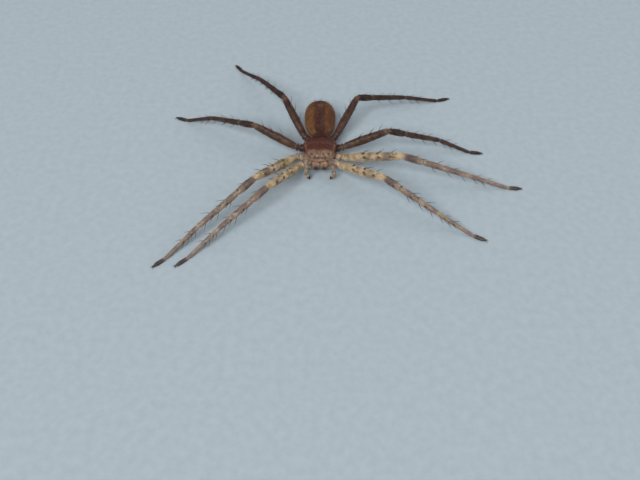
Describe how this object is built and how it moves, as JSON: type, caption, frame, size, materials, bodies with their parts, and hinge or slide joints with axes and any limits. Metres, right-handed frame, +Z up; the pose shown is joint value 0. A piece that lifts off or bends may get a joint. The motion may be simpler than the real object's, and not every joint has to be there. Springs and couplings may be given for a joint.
{
  "type": "huntsman spider",
  "caption": "Life-size huntsman spider, standing low on a flat floor with its legs spread sideways and bent, spiny and mottled brown.",
  "frame": {"origin": "on the floor, under the middle of the box round the whole spider", "axes": "+Z up, the head faces -Y, the spider's own right side is at -X"},
  "size_m": [0.101, 0.0818, 0.0103],
  "materials": {
    "carapace": "hard brown shell under short flat hair",
    "abdomen": "soft mottled olive-brown skin with a close coat of fine hair",
    "spinnerets": "brown, bristly",
    "underside": "tan, thinly haired",
    "leg": "tan to olive cuticle with dark spots at the roots of black spines",
    "foot": "dark brown with a dense pad of short hair",
    "jaw": "dark red-brown, smooth with scattered hair",
    "fang": "polished black-brown",
    "eye": "polished black"
  },
  "bodies": {
    "root": {"carapace": "carapace", "sternum": "underside", "pedicel": "underside", "abdomen": "abdomen", "spinnerets": "spinnerets", "eye_R_front_inner": "eye", "eye_R_front_outer": "eye", "eye_R_rear_inner": "eye", "eye_R_rear_outer": "eye", "eye_L_front_inner": "eye", "eye_L_front_outer": "eye", "eye_L_rear_inner": "eye", "eye_L_rear_outer": "eye", "chelicera_R": "jaw", "fang_R": "fang", "palp_R_arm": "leg", "palp_R_tip": "foot", "maxilla_R": "underside", "chelicera_L": "jaw", "fang_L": "fang", "palp_L_arm": "leg", "palp_L_tip": "foot", "maxilla_L": "underside", "labium": "underside", "leg_R1_coxa": "leg", "leg_R1_femur": "leg", "leg_R1_tibia": "leg", "leg_R1_foot": "foot", "leg_L1_coxa": "leg", "leg_L1_femur": "leg", "leg_L1_tibia": "leg", "leg_L1_foot": "foot", "leg_R2_coxa": "leg", "leg_R2_femur": "leg", "leg_R2_tibia": "leg", "leg_R2_foot": "foot", "leg_L2_coxa": "leg", "leg_L2_femur": "leg", "leg_L2_tibia": "leg", "leg_L2_foot": "foot", "leg_R3_coxa": "leg", "leg_R3_femur": "leg", "leg_R3_tibia": "leg", "leg_R3_foot": "foot", "leg_L3_coxa": "leg", "leg_L3_femur": "leg", "leg_L3_tibia": "leg", "leg_L3_foot": "foot", "leg_R4_coxa": "leg", "leg_R4_femur": "leg", "leg_R4_tibia": "leg", "leg_R4_foot": "foot", "leg_L4_coxa": "leg", "leg_L4_femur": "leg", "leg_L4_tibia": "leg", "leg_L4_foot": "foot"}
  },
  "joints": []
}
